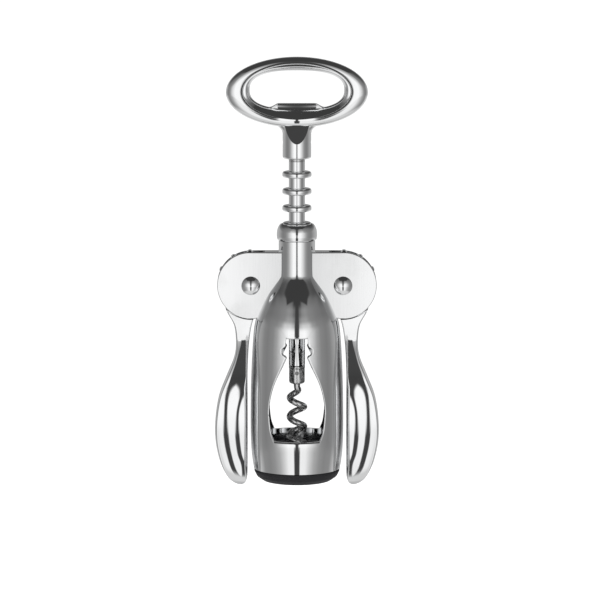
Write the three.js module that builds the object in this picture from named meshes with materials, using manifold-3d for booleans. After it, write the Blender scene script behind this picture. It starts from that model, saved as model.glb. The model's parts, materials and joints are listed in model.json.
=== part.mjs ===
// Lever corkscrew: a bottle-shaped casting with two geared levers, a rack that the
// levers lower and lift, and a handle that turns the worm through the rack.
//
// Millimetres, +Z up. The origin is on the centre line, in the plane of the base
// ring's underside. The front faces -Y. At rest the levers hang down beside the
// body and the rack stands up, with the handle at the top.

import * as THREE from 'three';
import { mergeVertices } from 'three/addons/utils/BufferGeometryUtils.js';
import Module from 'manifold-3d';

const wasm = await Module();
wasm.setup();

// ---------------------------------------------------------------- driving sizes

const GAP = 0.3; // left between pieces that touch
const ROUND = 32; // sides of a large round piece
const SMALL_ROUND = 16; // sides of a small round piece

// Gear train: each lever carries a gear segment that meshes with the rack's rings.
const RING_PITCH = 7.45;
const GEAR_TEETH = 12; // teeth in a full circle
const GEAR_PITCH_R = (RING_PITCH * GEAR_TEETH) / (2 * Math.PI);
const GEAR_TIP_R = 15.5;
const GEAR_ROOT_R = 13.4;
const GEAR_HALF = 1.6; // half the gear's thickness
const TOOTH_PHASE = 1.7; // degrees above level of the tooth in mesh
const FIRST_TOOTH = -1; // teeth of the segment, counted from the one in mesh
const LAST_TOOTH = 5;
const TOOTH_HALF_ROOT = 1.75;
const TOOTH_HALF_PITCH = 1.45;
const TOOTH_HALF_TIP = 0.75;
const PIVOT_X = 20.24;
const PIVOT_Z = 87;

// Rack and what runs through it
const RACK_CORE_R = 3.56;
const RACK_BORE_R = 2.6;
const RACK_BOTTOM = 51.1;
const RACK_TOP = 141.6;
const RING_R = 6.4;
const RING_HALF_RIM = 1.05;
const RING_HALF_ROOT = 1.55;
const FIRST_RING = -3; // rings, counted from the one just above the mesh point
const LAST_RING = 6;
const ROD_R = 2.3;
const WASHER_T = 0.6;

// Body
const BODY_BOTTOM = 5.0;
const NECK_TOP = 106.7;
const WALL = 2.2;
const NECK_BORE_R = 6.75;
const SEAT_R = 17.4; // where the base ring's spigot goes
const SEAT_TOP = 12;
const CHEEK_R = 14.8; // round ears about the pivots
const CHEEK_HALF = 3.8; // half the width over both cheeks
const SLOT_HALF = 2.6; // half the slot between the cheeks
const SLOT_R = 16;
const PIN_R = 2.4;
const PIN_HOLE_R = 2.7;
const HEAD_R = 4.15; // domed heads of the pivot pins
const HEAD_HEIGHT = 1.9;
const HEAD_SEAT = CHEEK_HALF + GAP;

// Outside of the bottle shape, radius and height, from the base to the neck
const BOTTLE = [
  [19.0, 5.0], [20.02, 12.9], [20.42, 22], [20.42, 33], [20.24, 44.1], [19.54, 59.6],
  [18.45, 70.3], [15.85, 77.6], [13.25, 83], [10.7, 86.9], [8.75, 90], [8.05, 92.3], [8.0, NECK_TOP],
];

// Window, half outline, half width and height: a small bottle seen from the front
const WINDOW = [
  [9.9, 19.8], [11.4, 24], [12.2, 31], [11.9, 36.5], [10.8, 42], [9.1, 47], [6.2, 53.5], [4.4, 57.4],
  [6.0, 58.6], [6.4, 60.4], [6.0, 62.2], [4.8, 62.9], [4.7, 65.5],
];

// Handle
const OVAL_Z = 172;
const OVAL = { x: 31, z: 15.6, lift: 0 }; // outer edge
const CREASE = { x: 23.8, z: 12.25, lift: 0.65 }; // inner edge of the rounded band
const HOLE = { x: 21.2, z: 9.0, lift: 1.0 }; // edge of the opening
const SOCKET_R = 6.25;
const SOCKET_BOTTOM = 142.8;
const SOCKET_TOP = 158.4;

// Lever, left: outer and inner edges as seen from the front, and half thickness
const LEVER_OUTER = [
  [-32.2, 80], [-31.0, 75.2], [-28.0, 69], [-27.3, 61], [-28.0, 54.5], [-31.0, 46.5], [-34.4, 37.5],
  [-36.1, 27], [-36.0, 17.5], [-34.0, 8.5], [-31.2, 2.2], [-28.4, -0.9], [-25.4, -2.3],
];
const LEVER_INNER = [
  [-14.0, 80], [-17.4, 75.2], [-19.8, 70], [-21.4, 62], [-22.0, 54], [-22.1, 46], [-21.8, 36],
  [-21.75, 15], [-21.8, 4], [-22.0, 1.0], [-22.8, -1.2], [-24.6, -2.3],
];
const LEVER_HALF = [
  [3.7, 80], [3.7, 70], [3.7, 62.8], [5.7, 56], [7.3, 50], [8.2, 45], [8.6, 38], [8.4, 26], [7.4, 14],
  [5.8, 5], [3.8, 0.3], [1.4, -2.3],
];
const LEVER_CLEAR_R = 15.1; // the arm's full thickness starts outside this radius

// Worm
const WORM_TOP = 45.3;
const WORM_WIRE_R = 1.4;
const WORM_HELIX_R = 3.2;
const WORM_PITCH = 8.6;
const WORM_TIP = 5.2;
const HUB_BOTTOM = 43;
const HUB_TOP = 49.9;

// Cross pins that join the rod to the hub and to the handle
const HUB_PIN = { z: 48, r: 0.8, half: 3.1 };
const HANDLE_PIN = { z: 150, r: 1.0, half: 5.9 };

// ---------------------------------------------------------------- materials

const chrome = new THREE.MeshStandardMaterial({ color: 0xd4d5d7, roughness: 0.08, metalness: 1 });
const steel = new THREE.MeshStandardMaterial({ color: 0xb8babd, roughness: 0.25, metalness: 1 });
const blackPolymer = new THREE.MeshStandardMaterial({ color: 0x26272a, roughness: 0.45, metalness: 0 });
const nylon = new THREE.MeshStandardMaterial({ color: 0xd8d6cc, roughness: 0.6, metalness: 0 });

// ---------------------------------------------------------------- solids

function toSolid(geometry) {
  const bare = geometry.clone();
  bare.deleteAttribute('normal');
  bare.deleteAttribute('uv');
  const merged = mergeVertices(bare, 1e-4);
  const mesh = new wasm.Mesh({
    numProp: 3,
    vertProperties: new Float32Array(merged.attributes.position.array),
    triVerts: new Uint32Array(merged.index.array),
  });
  return new wasm.Manifold(mesh);
}

function toGeometry(solid) {
  const mesh = solid.getMesh();
  const geometry = new THREE.BufferGeometry();
  geometry.setAttribute('position', new THREE.BufferAttribute(mesh.vertProperties, 3));
  geometry.setIndex(new THREE.BufferAttribute(mesh.triVerts, 1));
  return geometry;
}

// A round solid about Z from [radius, height] points, going up on the outside.
function turned(points, sides = ROUND) {
  const profile = points.map(([r, z]) => new THREE.Vector2(r, z));
  return new THREE.LatheGeometry(profile, sides).rotateX(Math.PI / 2);
}

// A ring about Z: the profile is closed by its first point.
function turnedRing(points, sides = ROUND) {
  return turned([...points, points[0]], sides);
}

function rodAlongY(radius, y0, y1, sides = SMALL_ROUND) {
  return new THREE.CylinderGeometry(radius, radius, y1 - y0, sides).translate(0, (y0 + y1) / 2, 0);
}

function rodAlongZ(radius, z0, z1, sides = SMALL_ROUND) {
  const rod = new THREE.CylinderGeometry(radius, radius, z1 - z0, sides);
  return rod.rotateX(Math.PI / 2).translate(0, 0, (z0 + z1) / 2);
}

// A plate whose outline is drawn in X and Z, from y = -half to y = half.
function plate(shape, half) {
  const solid = new THREE.ExtrudeGeometry(shape, { depth: 2 * half, bevelEnabled: false, curveSegments: 6 });
  return solid.rotateX(Math.PI / 2).translate(0, half, 0);
}

// A skin over rings of points. An open row of rings is closed by flat ends.
function loft(rings, closed) {
  const count = rings[0].length;
  const positions = rings.flat().flatMap((p) => [p.x, p.y, p.z]);
  const index = [];
  const spans = closed ? rings.length : rings.length - 1;
  for (let i = 0; i < spans; i += 1) {
    const a = i * count;
    const b = ((i + 1) % rings.length) * count;
    for (let j = 0; j < count; j += 1) {
      const k = (j + 1) % count;
      index.push(a + j, b + j, b + k, a + j, b + k, a + k);
    }
  }
  const last = (rings.length - 1) * count;
  for (let j = 1; !closed && j < count - 1; j += 1) {
    index.push(0, j, j + 1, last, last + j + 1, last + j);
  }
  const geometry = new THREE.BufferGeometry();
  geometry.setAttribute('position', new THREE.Float32BufferAttribute(positions, 3));
  geometry.setIndex(index);
  return geometry;
}

// The mirror image in the plane x = 0, with its faces still pointing out.
function mirrored(geometry) {
  const copy = geometry.clone().scale(-1, 1, 1);
  const corners = copy.index.array;
  for (let i = 0; i < corners.length; i += 3) {
    [corners[i + 1], corners[i + 2]] = [corners[i + 2], corners[i + 1]];
  }
  return copy;
}

// The first value of a smooth curve through [value, height] points, at a height.
function valueAt(points, z) {
  const curve = new THREE.SplineCurve(points.map(([v, h]) => new THREE.Vector2(v, h)));
  const falling = points[0][1] > points[points.length - 1][1];
  let low = 0;
  let high = 1;
  for (let step = 0; step < 24; step += 1) {
    const middle = (low + high) / 2;
    const above = curve.getPoint(middle).y > z;
    if (above === falling) {
      low = middle;
    } else {
      high = middle;
    }
  }
  return curve.getPoint(low).x;
}

function heights(from, to, count) {
  return Array.from({ length: count + 1 }, (_, i) => from + ((to - from) * i) / count);
}

// ---------------------------------------------------------------- body

function cheekOutline() {
  const outline = new THREE.Shape();
  outline.moveTo(0, PIVOT_Z + CHEEK_R);
  outline.lineTo(-PIVOT_X, PIVOT_Z + CHEEK_R);
  outline.absarc(-PIVOT_X, PIVOT_Z, CHEEK_R, Math.PI / 2, 1.57 * Math.PI, false);
  outline.lineTo(0, PIVOT_Z - CHEEK_R + 6);
  return outline;
}

function windowOutline() {
  const outline = new THREE.Shape();
  WINDOW.forEach(([x, z], i) => (i === 0 ? outline.moveTo(x, z) : outline.lineTo(x, z)));
  [...WINDOW].reverse().forEach(([x, z]) => outline.lineTo(-x, z));
  return outline;
}

function bodyCasting() {
  const levels = heights(BODY_BOTTOM, NECK_TOP, 16);
  const skin = levels.map((z) => [valueAt(BOTTLE, z), z]);
  const spigot = [[7.6, NECK_TOP], [7.6, 110.4], [0, 110.4]];
  const outside = toSolid(turned([[0, BODY_BOTTOM], ...skin, ...spigot]));

  const chamber = levels
    .filter((z) => z > SEAT_TOP)
    .map((z) => [Math.max(NECK_BORE_R, valueAt(BOTTLE, z) - WALL), z]);
  const seat = [[0, 0], [SEAT_R, 0], [SEAT_R, SEAT_TOP - 0.5]];
  const bore = [[NECK_BORE_R, 120], [0, 120]];
  const inside = toSolid(turned([...seat, ...chamber, ...bore]));

  const cheek = plate(cheekOutline(), CHEEK_HALF);
  let casting = outside.add(toSolid(cheek)).add(toSolid(plateMirror(cheek)));
  casting = casting.subtract(inside);
  for (const side of [-1, 1]) {
    const slot = rodAlongY(SLOT_R, -SLOT_HALF, SLOT_HALF, 48).translate(side * PIVOT_X, 0, PIVOT_Z);
    const hole = rodAlongY(PIN_HOLE_R, -10, 10).translate(side * PIVOT_X, 0, PIVOT_Z);
    casting = casting.subtract(toSolid(slot)).subtract(toSolid(hole));
  }
  return casting.subtract(toSolid(plate(windowOutline(), 30)));
}

function plateMirror(geometry) {
  return mirrored(mergeVertices(geometry.clone().deleteAttribute('normal').deleteAttribute('uv'), 1e-4));
}

function baseRing() {
  return turnedRing([
    [11.5, 0], [15.0, 0], [17.6, 1.7], [18.7, 4.2], [18.7, 4.7], [17.1, 4.7],
    [17.1, 10.8], [14.4, 10.8], [11.5, 5.5],
  ]);
}

function neckCollar() {
  return turnedRing([
    [7.9, NECK_TOP + GAP], [8.35, NECK_TOP + GAP], [8.75, 108.3], [8.8, 109.5], [8.6, 111.2],
    [7.95, 112.9], [7.3, 113.8], [NECK_BORE_R, 114], [NECK_BORE_R, 110.7], [7.9, 110.7],
  ]);
}

// ---------------------------------------------------------------- pivots

// A dome on the +Y side: its rim is at y = HEAD_SEAT.
function dome() {
  const profile = [[0, HEAD_SEAT], [HEAD_R, HEAD_SEAT], [HEAD_R, HEAD_SEAT + 0.3]];
  for (const turn of [0.22, 0.45, 0.7]) {
    const angle = (turn * Math.PI) / 2;
    profile.push([HEAD_R * Math.cos(angle), HEAD_SEAT + 0.3 + (HEAD_HEIGHT - 0.3) * Math.sin(angle)]);
  }
  profile.push([0, HEAD_SEAT + HEAD_HEIGHT]);
  return turned(profile, 20).rotateX(-Math.PI / 2);
}

function pivotPin() {
  const head = toSolid(dome().rotateZ(Math.PI));
  const shank = toSolid(rodAlongY(PIN_R, -HEAD_SEAT - 0.2, HEAD_SEAT));
  const tail = toSolid(rodAlongY(1.4, HEAD_SEAT - 0.2, HEAD_SEAT + 1));
  return head.add(shank).add(tail);
}

function pinCap() {
  return toSolid(dome()).subtract(toSolid(rodAlongY(1.7, 0, HEAD_SEAT + GAP + 1)));
}

function leverWasher() {
  const flat = [[PIN_HOLE_R, -0.2], [6, -0.2], [6, 0.2], [PIN_HOLE_R, 0.2]];
  return turnedRing(flat, SMALL_ROUND).rotateX(Math.PI / 2);
}

// ---------------------------------------------------------------- levers

function gearOutline() {
  const outline = new THREE.Shape();
  const step = (2 * Math.PI) / GEAR_TEETH;
  const phase = THREE.MathUtils.degToRad(TOOTH_PHASE);
  const corners = [];
  for (let tooth = FIRST_TOOTH; tooth <= LAST_TOOTH; tooth += 1) {
    const middle = phase + tooth * step;
    const flank = [
      [GEAR_ROOT_R, TOOTH_HALF_ROOT], [GEAR_PITCH_R, TOOTH_HALF_PITCH], [GEAR_TIP_R - 0.35, TOOTH_HALF_TIP + 0.35],
      [GEAR_TIP_R, TOOTH_HALF_TIP],
    ];
    flank.forEach(([r, half]) => corners.push([r, middle - half / r]));
    flank.reverse().forEach(([r, half]) => corners.push([r, middle + half / r]));
  }
  const end = phase + LAST_TOOTH * step + TOOTH_HALF_ROOT / GEAR_ROOT_R;
  const start = phase + FIRST_TOOTH * step - TOOTH_HALF_ROOT / GEAR_ROOT_R + 2 * Math.PI;
  heights(end, start, 12).slice(1, -1).forEach((angle) => corners.push([GEAR_ROOT_R, angle]));
  corners.forEach(([r, angle], i) => {
    const x = -PIVOT_X + r * Math.cos(angle);
    const z = PIVOT_Z + r * Math.sin(angle);
    return i === 0 ? outline.moveTo(x, z) : outline.lineTo(x, z);
  });
  return outline;
}

function armSections() {
  return [80, 76, 72, 68, 63, 59, 54, 49, 44, 39, 33, 27, 20, 13, 7, 3, 0.6, -1.1, -2.0].map((z) => {
    const outer = valueAt(LEVER_OUTER, z);
    const inner = valueAt(LEVER_INNER, z);
    const half = valueAt(LEVER_HALF, z);
    const ring = [];
    for (let i = 0; i < SMALL_ROUND; i += 1) {
      const angle = (i * 2 * Math.PI) / SMALL_ROUND;
      const c = Math.cos(angle);
      const s = Math.sin(angle);
      const across = Math.sign(c) * Math.abs(c) ** 0.7;
      const deep = Math.sign(s) * Math.abs(s) ** 0.8;
      ring.push(new THREE.Vector3((outer + inner) / 2 + (across * (inner - outer)) / 2, half * deep, z));
    }
    return ring;
  });
}

function leftLever() {
  const arm = toSolid(loft(armSections(), false));
  const atPivot = (geometry) => toSolid(geometry.translate(-PIVOT_X, 0, PIVOT_Z));
  const clearance = atPivot(rodAlongY(LEVER_CLEAR_R, -12, 12, 48));
  const slab = toSolid(new THREE.BoxGeometry(60, 2 * GEAR_HALF, 200));
  const gear = toSolid(plate(gearOutline(), GEAR_HALF));
  const root = arm.intersect(slab);
  const hole = atPivot(rodAlongY(PIN_HOLE_R, -10, 10));
  return arm.subtract(clearance).add(root).add(gear).subtract(hole);
}

// ---------------------------------------------------------------- rack and spindle

function rackSleeve() {
  const outside = [[RACK_CORE_R, RACK_BOTTOM]];
  const meshGap = PIVOT_Z + GEAR_PITCH_R * Math.sin(THREE.MathUtils.degToRad(TOOTH_PHASE));
  for (let ring = FIRST_RING; ring <= LAST_RING; ring += 1) {
    const z = meshGap + (ring + 0.5) * RING_PITCH;
    outside.push([RACK_CORE_R, z - RING_HALF_ROOT], [RING_R - 0.3, z - RING_HALF_RIM - 0.1]);
    outside.push([RING_R, z - RING_HALF_RIM + 0.3], [RING_R, z + RING_HALF_RIM - 0.3]);
    outside.push([RING_R - 0.3, z + RING_HALF_RIM + 0.1], [RACK_CORE_R, z + RING_HALF_ROOT]);
  }
  outside.push([RACK_CORE_R, RACK_TOP]);
  return turnedRing([[RACK_BORE_R, RACK_BOTTOM], ...outside, [RACK_BORE_R, RACK_TOP]], SMALL_ROUND);
}

function thrustWasher(z) {
  const section = [[RACK_BORE_R, z], [RACK_CORE_R, z], [RACK_CORE_R, z + WASHER_T], [RACK_BORE_R, z + WASHER_T]];
  return turnedRing(section, SMALL_ROUND);
}

function spindleRod() {
  const rod = toSolid(rodAlongZ(ROD_R, HUB_BOTTOM + 2.9, 156));
  const lower = toSolid(rodAlongY(HUB_PIN.r + GAP, -10, 10, 12).translate(0, 0, HUB_PIN.z));
  const upper = rodAlongY(HANDLE_PIN.r + GAP, -10, 10, 12).rotateZ(Math.PI / 2).translate(0, 0, HANDLE_PIN.z);
  return rod.subtract(lower).subtract(toSolid(upper));
}

function wormHub() {
  const hub = toSolid(turnedRing([
    [WORM_WIRE_R + GAP, HUB_BOTTOM], [2.9, HUB_BOTTOM], [3.45, HUB_BOTTOM + 0.8], [3.45, HUB_TOP],
    [RACK_BORE_R, HUB_TOP], [RACK_BORE_R, HUB_BOTTOM + 2.6], [WORM_WIRE_R + GAP, HUB_BOTTOM + 2.6],
  ], 20));
  return hub.subtract(toSolid(rodAlongY(HUB_PIN.r + GAP, -10, 10, 12).translate(0, 0, HUB_PIN.z)));
}

// Centre line of the worm's wire: straight shank, then out to the helix and down.
function wormPath() {
  const points = [new THREE.Vector3(0, 0, WORM_TOP), new THREE.Vector3(0, 0, WORM_TOP - 2.3)];
  const start = WORM_TOP - 4.2;
  const turns = (start - WORM_TIP) / WORM_PITCH;
  const steps = Math.round(turns * 12);
  for (let i = 0; i <= steps; i += 1) {
    const turn = (i / steps) * turns;
    const radius = WORM_HELIX_R * Math.min(1, turn / 0.5);
    const angle = turn * 2 * Math.PI;
    points.push(new THREE.Vector3(radius * Math.cos(angle), radius * Math.sin(angle), start - turn * WORM_PITCH));
  }
  return new THREE.CatmullRomCurve3(points);
}

function worm() {
  const path = wormPath();
  const section = new THREE.Shape();
  for (let i = 0; i < 8; i += 1) {
    const angle = (i * Math.PI) / 4;
    const corner = [WORM_WIRE_R * Math.cos(angle), WORM_WIRE_R * Math.sin(angle)];
    if (i === 0) {
      section.moveTo(...corner);
    } else {
      section.lineTo(...corner);
    }
  }
  const steps = 50;
  const wire = new THREE.ExtrudeGeometry(section, { steps, extrudePath: path });
  sharpen(wire, path, steps);
  return wire;
}

// Draws the wire in to a point over its last stretch.
function sharpen(wire, path, steps) {
  const stations = heights(0, 1, steps).map((u) => path.getPointAt(u));
  const place = wire.attributes.position;
  const corner = new THREE.Vector3();
  for (let i = 0; i < place.count; i += 1) {
    corner.fromBufferAttribute(place, i);
    let nearest = 0;
    stations.forEach((point, s) => {
      if (point.distanceToSquared(corner) < stations[nearest].distanceToSquared(corner)) {
        nearest = s;
      }
    });
    const left = (steps - nearest) / steps;
    const keep = Math.min(1, 0.12 + left / 0.1);
    corner.sub(stations[nearest]).multiplyScalar(keep).add(stations[nearest]);
    place.setXYZ(i, corner.x, corner.y, corner.z);
  }
}

// ---------------------------------------------------------------- handle

// One point of the oval's section: share is 0 at the first outline, 1 at the second.
function between(first, second, share, angle, y) {
  const x = THREE.MathUtils.lerp(first.x, second.x, share) * Math.cos(angle);
  const rise = THREE.MathUtils.lerp(first.z, second.z, share) * Math.sin(angle);
  const lift = THREE.MathUtils.lerp(first.lift, second.lift, share);
  return new THREE.Vector3(x, y, OVAL_Z + rise + lift);
}

function ovalRing() {
  const front = [
    [OVAL, CREASE, 0.04, 1.7], [OVAL, CREASE, 0.3, 3.5], [OVAL, CREASE, 0.65, 4.2], [OVAL, CREASE, 1, 3.7],
    [CREASE, HOLE, 0.35, 2.2], [CREASE, HOLE, 1, 1.0],
  ];
  const section = [...front.map(([a, b, s, y]) => [a, b, s, -y]), ...[...front].reverse()];
  const rings = heights(0, 2 * Math.PI, 40).slice(0, -1)
    .map((angle) => section.map(([a, b, s, y]) => between(a, b, s, angle, y)));
  return loft(rings, true);
}

function openerTongue() {
  const outline = new THREE.Shape();
  outline.moveTo(-14.5, 162.4);
  [[-10, 158.6], [10, 158.6], [14.5, 162.4], [11.5, 163.6], [8.2, 166.9], [7.5, 167.1], [-7.5, 167.1], [-8.2, 166.9]]
    .forEach(([x, z]) => outline.lineTo(x, z));
  outline.lineTo(-11.5, 163.6);
  return plate(outline, 1.3);
}

// The web that spreads the socket out into the oval, seen from the front
function socketWeb() {
  const outline = new THREE.Shape();
  outline.moveTo(-SOCKET_R, 153);
  outline.lineTo(SOCKET_R, 153);
  outline.lineTo(SOCKET_R, 154.2);
  outline.quadraticCurveTo(SOCKET_R + 0.5, 157.2, 11.5, 158.6);
  outline.lineTo(-11.5, 158.6);
  outline.quadraticCurveTo(-SOCKET_R - 0.5, 157.2, -SOCKET_R, 154.2);
  return plate(outline, 2.9);
}

function handleCasting() {
  const socket = toSolid(turned([
    [0, SOCKET_BOTTOM], [SOCKET_R - 1, SOCKET_BOTTOM], [SOCKET_R - 0.3, SOCKET_BOTTOM + 0.3],
    [SOCKET_R, SOCKET_BOTTOM + 1.1], [SOCKET_R, SOCKET_TOP], [0, SOCKET_TOP],
  ], 24));
  let casting = toSolid(ovalRing()).add(toSolid(openerTongue())).add(toSolid(socketWeb())).add(socket);
  for (const side of [-1, 1]) {
    const tilt = THREE.MathUtils.degToRad(20.5);
    const facet = new THREE.BoxGeometry(30, 6, 16).translate(0, side * 3, 8);
    facet.rotateX(side * tilt).translate(0, side * SOCKET_R, 149.8);
    const below = new THREE.BoxGeometry(40, 20, 40).translate(0, 0, SOCKET_TOP + 0.1 - 20);
    casting = casting.subtract(toSolid(facet).intersect(toSolid(below)));
  }
  const bore = toSolid(rodAlongZ(ROD_R + GAP, SOCKET_BOTTOM - 5, 156 + GAP));
  const hole = rodAlongY(HANDLE_PIN.r + GAP, -10, 10, 12).rotateZ(Math.PI / 2).translate(0, 0, HANDLE_PIN.z);
  return casting.subtract(bore).subtract(toSolid(hole));
}

// ---------------------------------------------------------------- assembly

const corkscrew = new THREE.Group();

function place(name, shape, material, x = 0, y = 0, z = 0) {
  const geometry = shape instanceof THREE.BufferGeometry ? shape : toGeometry(shape);
  const mesh = new THREE.Mesh(geometry, material);
  mesh.name = name;
  mesh.position.set(x, y, z);
  corkscrew.add(mesh);
}

place('body_casting', bodyCasting(), chrome);
place('base_ring', baseRing(), blackPolymer);
place('neck_collar', neckCollar(), chrome);

const leverSolid = toGeometry(leftLever());
place('left_lever', leverSolid, chrome);
place('right_lever', mirrored(leverSolid), chrome);

for (const [side, sign] of [['left', -1], ['right', 1]]) {
  place(`${side}_pivot_pin`, pivotPin(), chrome, sign * PIVOT_X, 0, PIVOT_Z);
  place(`${side}_pin_cap`, pinCap(), chrome, sign * PIVOT_X, 0, PIVOT_Z);
  for (const [face, turn] of [['front', -1], ['rear', 1]]) {
    const y = turn * (GEAR_HALF + SLOT_HALF) / 2;
    place(`${side}_${face}_lever_washer`, leverWasher(), nylon, sign * PIVOT_X, y, PIVOT_Z);
  }
}

place('rack_sleeve', rackSleeve(), chrome);
place('upper_thrust_washer', thrustWasher(RACK_TOP + GAP), steel);
place('lower_thrust_washer', thrustWasher(RACK_BOTTOM - GAP - WASHER_T), steel);

place('spindle_rod', spindleRod(), steel);
place('worm_hub', wormHub(), steel);
place('worm_hub_pin', rodAlongY(HUB_PIN.r, -HUB_PIN.half, HUB_PIN.half, 12), steel, 0, 0, HUB_PIN.z);
place('worm', worm(), steel);
place('handle_casting', handleCasting(), chrome);
const handlePin = rodAlongY(HANDLE_PIN.r, -HANDLE_PIN.half, HANDLE_PIN.half, 12).rotateZ(Math.PI / 2);
place('handle_cross_pin', handlePin, steel, 0, 0, HANDLE_PIN.z);

export default corkscrew;
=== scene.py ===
# %% [markdown]
# # A lever corkscrew in polished chrome
# The corkscrew is a bottle-shaped casting with two geared levers, a rack with rings,
# an oval handle and a wire worm. The solids that hold the sizes and the joints come
# from the frame. Here each visible one gets a smooth piece of its own and a finish.
# Sizes below are in millimetres and are turned into metres where a mesh is made.

# %% Load the frame and keep its box
import json
import math

import bmesh
import bpy
from mathutils import Matrix, Vector

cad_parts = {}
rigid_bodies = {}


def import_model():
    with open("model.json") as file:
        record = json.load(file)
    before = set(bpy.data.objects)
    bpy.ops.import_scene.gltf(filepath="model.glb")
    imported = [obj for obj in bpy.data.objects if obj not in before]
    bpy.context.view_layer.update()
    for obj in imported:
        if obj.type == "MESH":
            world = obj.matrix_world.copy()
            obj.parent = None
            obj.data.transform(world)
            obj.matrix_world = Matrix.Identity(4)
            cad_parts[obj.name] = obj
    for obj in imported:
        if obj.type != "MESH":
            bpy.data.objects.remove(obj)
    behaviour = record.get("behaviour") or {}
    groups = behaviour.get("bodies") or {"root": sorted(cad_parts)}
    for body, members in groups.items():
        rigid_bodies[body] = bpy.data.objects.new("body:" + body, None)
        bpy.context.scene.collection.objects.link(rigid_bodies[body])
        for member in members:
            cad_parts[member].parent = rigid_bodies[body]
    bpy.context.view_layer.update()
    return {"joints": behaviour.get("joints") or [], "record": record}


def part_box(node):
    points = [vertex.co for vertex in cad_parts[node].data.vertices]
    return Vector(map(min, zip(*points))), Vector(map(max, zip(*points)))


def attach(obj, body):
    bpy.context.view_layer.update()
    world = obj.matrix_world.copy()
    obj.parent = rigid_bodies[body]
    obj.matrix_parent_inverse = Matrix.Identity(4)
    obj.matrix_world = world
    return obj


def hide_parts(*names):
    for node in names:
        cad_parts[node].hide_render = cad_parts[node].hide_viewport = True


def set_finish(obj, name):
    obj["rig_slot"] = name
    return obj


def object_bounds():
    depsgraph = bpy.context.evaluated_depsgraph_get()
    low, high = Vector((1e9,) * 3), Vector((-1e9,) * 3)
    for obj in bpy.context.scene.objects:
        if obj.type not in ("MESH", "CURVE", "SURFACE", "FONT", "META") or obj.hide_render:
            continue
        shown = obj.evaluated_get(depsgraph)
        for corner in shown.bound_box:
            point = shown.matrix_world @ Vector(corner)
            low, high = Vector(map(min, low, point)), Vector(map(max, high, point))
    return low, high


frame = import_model()
scene = bpy.context.scene
MM = 0.001
joints = {joint["name"]: joint for joint in frame["joints"]}
pivot = Vector(joints["right_lever_hinge"]["pos_m"]) / MM
print("pivots at x = +-%.2f, z = %.2f mm" % (pivot.x, pivot.z))

# %% [markdown]
# ## The camera and the studio
# Chrome has no colour of its own: it shows the room. The room is a studio with two
# soft front panels either side of a narrow dark gap, side walls that fall to a mid grey
# and lift again behind, a ceiling that darkens with height, a pale table and a dark card
# overhead. It is a plain world shader that answers one question: how bright is the
# studio in this direction? Real panels would give the same picture with more noise.

# %% Camera
VIEW_ELEVATION = 8.5
VIEW_WIDTH = 264.0
VIEW_DISTANCE = 2000.0
SENSOR_WIDTH = 36
aim = Vector((1.35, 0.0, 80.15)) * MM
tilt = math.radians(VIEW_ELEVATION)
back = Vector((0, -math.cos(tilt), math.sin(tilt)))
camera_data = bpy.data.cameras.new("camera")
camera_data.sensor_width = SENSOR_WIDTH
camera_data.lens = SENSOR_WIDTH * VIEW_DISTANCE / VIEW_WIDTH
camera_data.clip_end = 50
camera = bpy.data.objects.new("camera", camera_data)
camera.location = aim + back * VIEW_DISTANCE * MM
camera.rotation_euler = (math.pi / 2 - tilt, 0, 0)
scene.collection.objects.link(camera)
scene.camera = camera
scene.view_settings.view_transform = "Standard"


# %% Small helpers for node trees
def node(tree, kind, **values):
    """Adds a node and sets its properties, or its inputs by name or number."""
    made = tree.nodes.new(kind)
    for key, value in values.items():
        if hasattr(made, key):
            setattr(made, key, value)
        else:
            made.inputs[key].default_value = value
    return made


def math_node(tree, operation, first, second=0.0, third=0.0, clamp=False):
    """A Math node; each value is a number or another node's output."""
    made = tree.nodes.new("ShaderNodeMath")
    made.operation = operation
    made.use_clamp = clamp
    for socket, value in zip(made.inputs, (first, second, third)):
        if isinstance(value, (int, float)):
            socket.default_value = value
        else:
            tree.links.new(value, socket)
    return made.outputs[0]


def steps_between(tree, value, low, high):
    """A soft step: 0 below low, 1 above high."""
    made = tree.nodes.new("ShaderNodeMapRange")
    made.interpolation_type = "SMOOTHSTEP"
    made.inputs["From Min"].default_value = low
    made.inputs["From Max"].default_value = high
    tree.links.new(value, made.inputs["Value"])
    return made.outputs["Result"]


def grey_ramp(tree, value, stops):
    """Brightness along a turn: stops are (degrees from the front, screen grey from 0 to 255)."""
    made = tree.nodes.new("ShaderNodeValToRGB")
    tree.links.new(value, made.inputs["Fac"])
    elements = made.color_ramp.elements
    while len(elements) < len(stops):
        elements.new(0.5)
    for element, (degrees, grey) in zip(elements, sorted(stops)):
        linear = (grey / 255) ** 2.2
        element.position = degrees / 180
        element.color = (linear, linear, linear, 1)
    return made.outputs["Color"]


def blend_grey(tree, share, first, second):
    """Goes from first to second as share rises; each is a number or a node's output."""
    made = tree.nodes.new("ShaderNodeMix")
    made.data_type = "RGBA"
    tree.links.new(share, made.inputs["Factor"])
    for socket, value in ((made.inputs["A"], first), (made.inputs["B"], second)):
        if isinstance(value, float):
            socket.default_value = (value, value, value, 1)
        else:
            tree.links.new(value, socket)
    return made.outputs["Result"]


# %% The studio's brightness, level by level
SIDE_WALLS = [
    (22, 250), (30, 232), (42, 200), (54, 157), (66, 131), (84, 121), (96, 128), (108, 147), (132, 168),
    (158, 172), (171, 160), (180, 128),
]
EYE_LEVEL = [(0, 62), (2.6, 66), (5.5, 248), *SIDE_WALLS]
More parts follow.
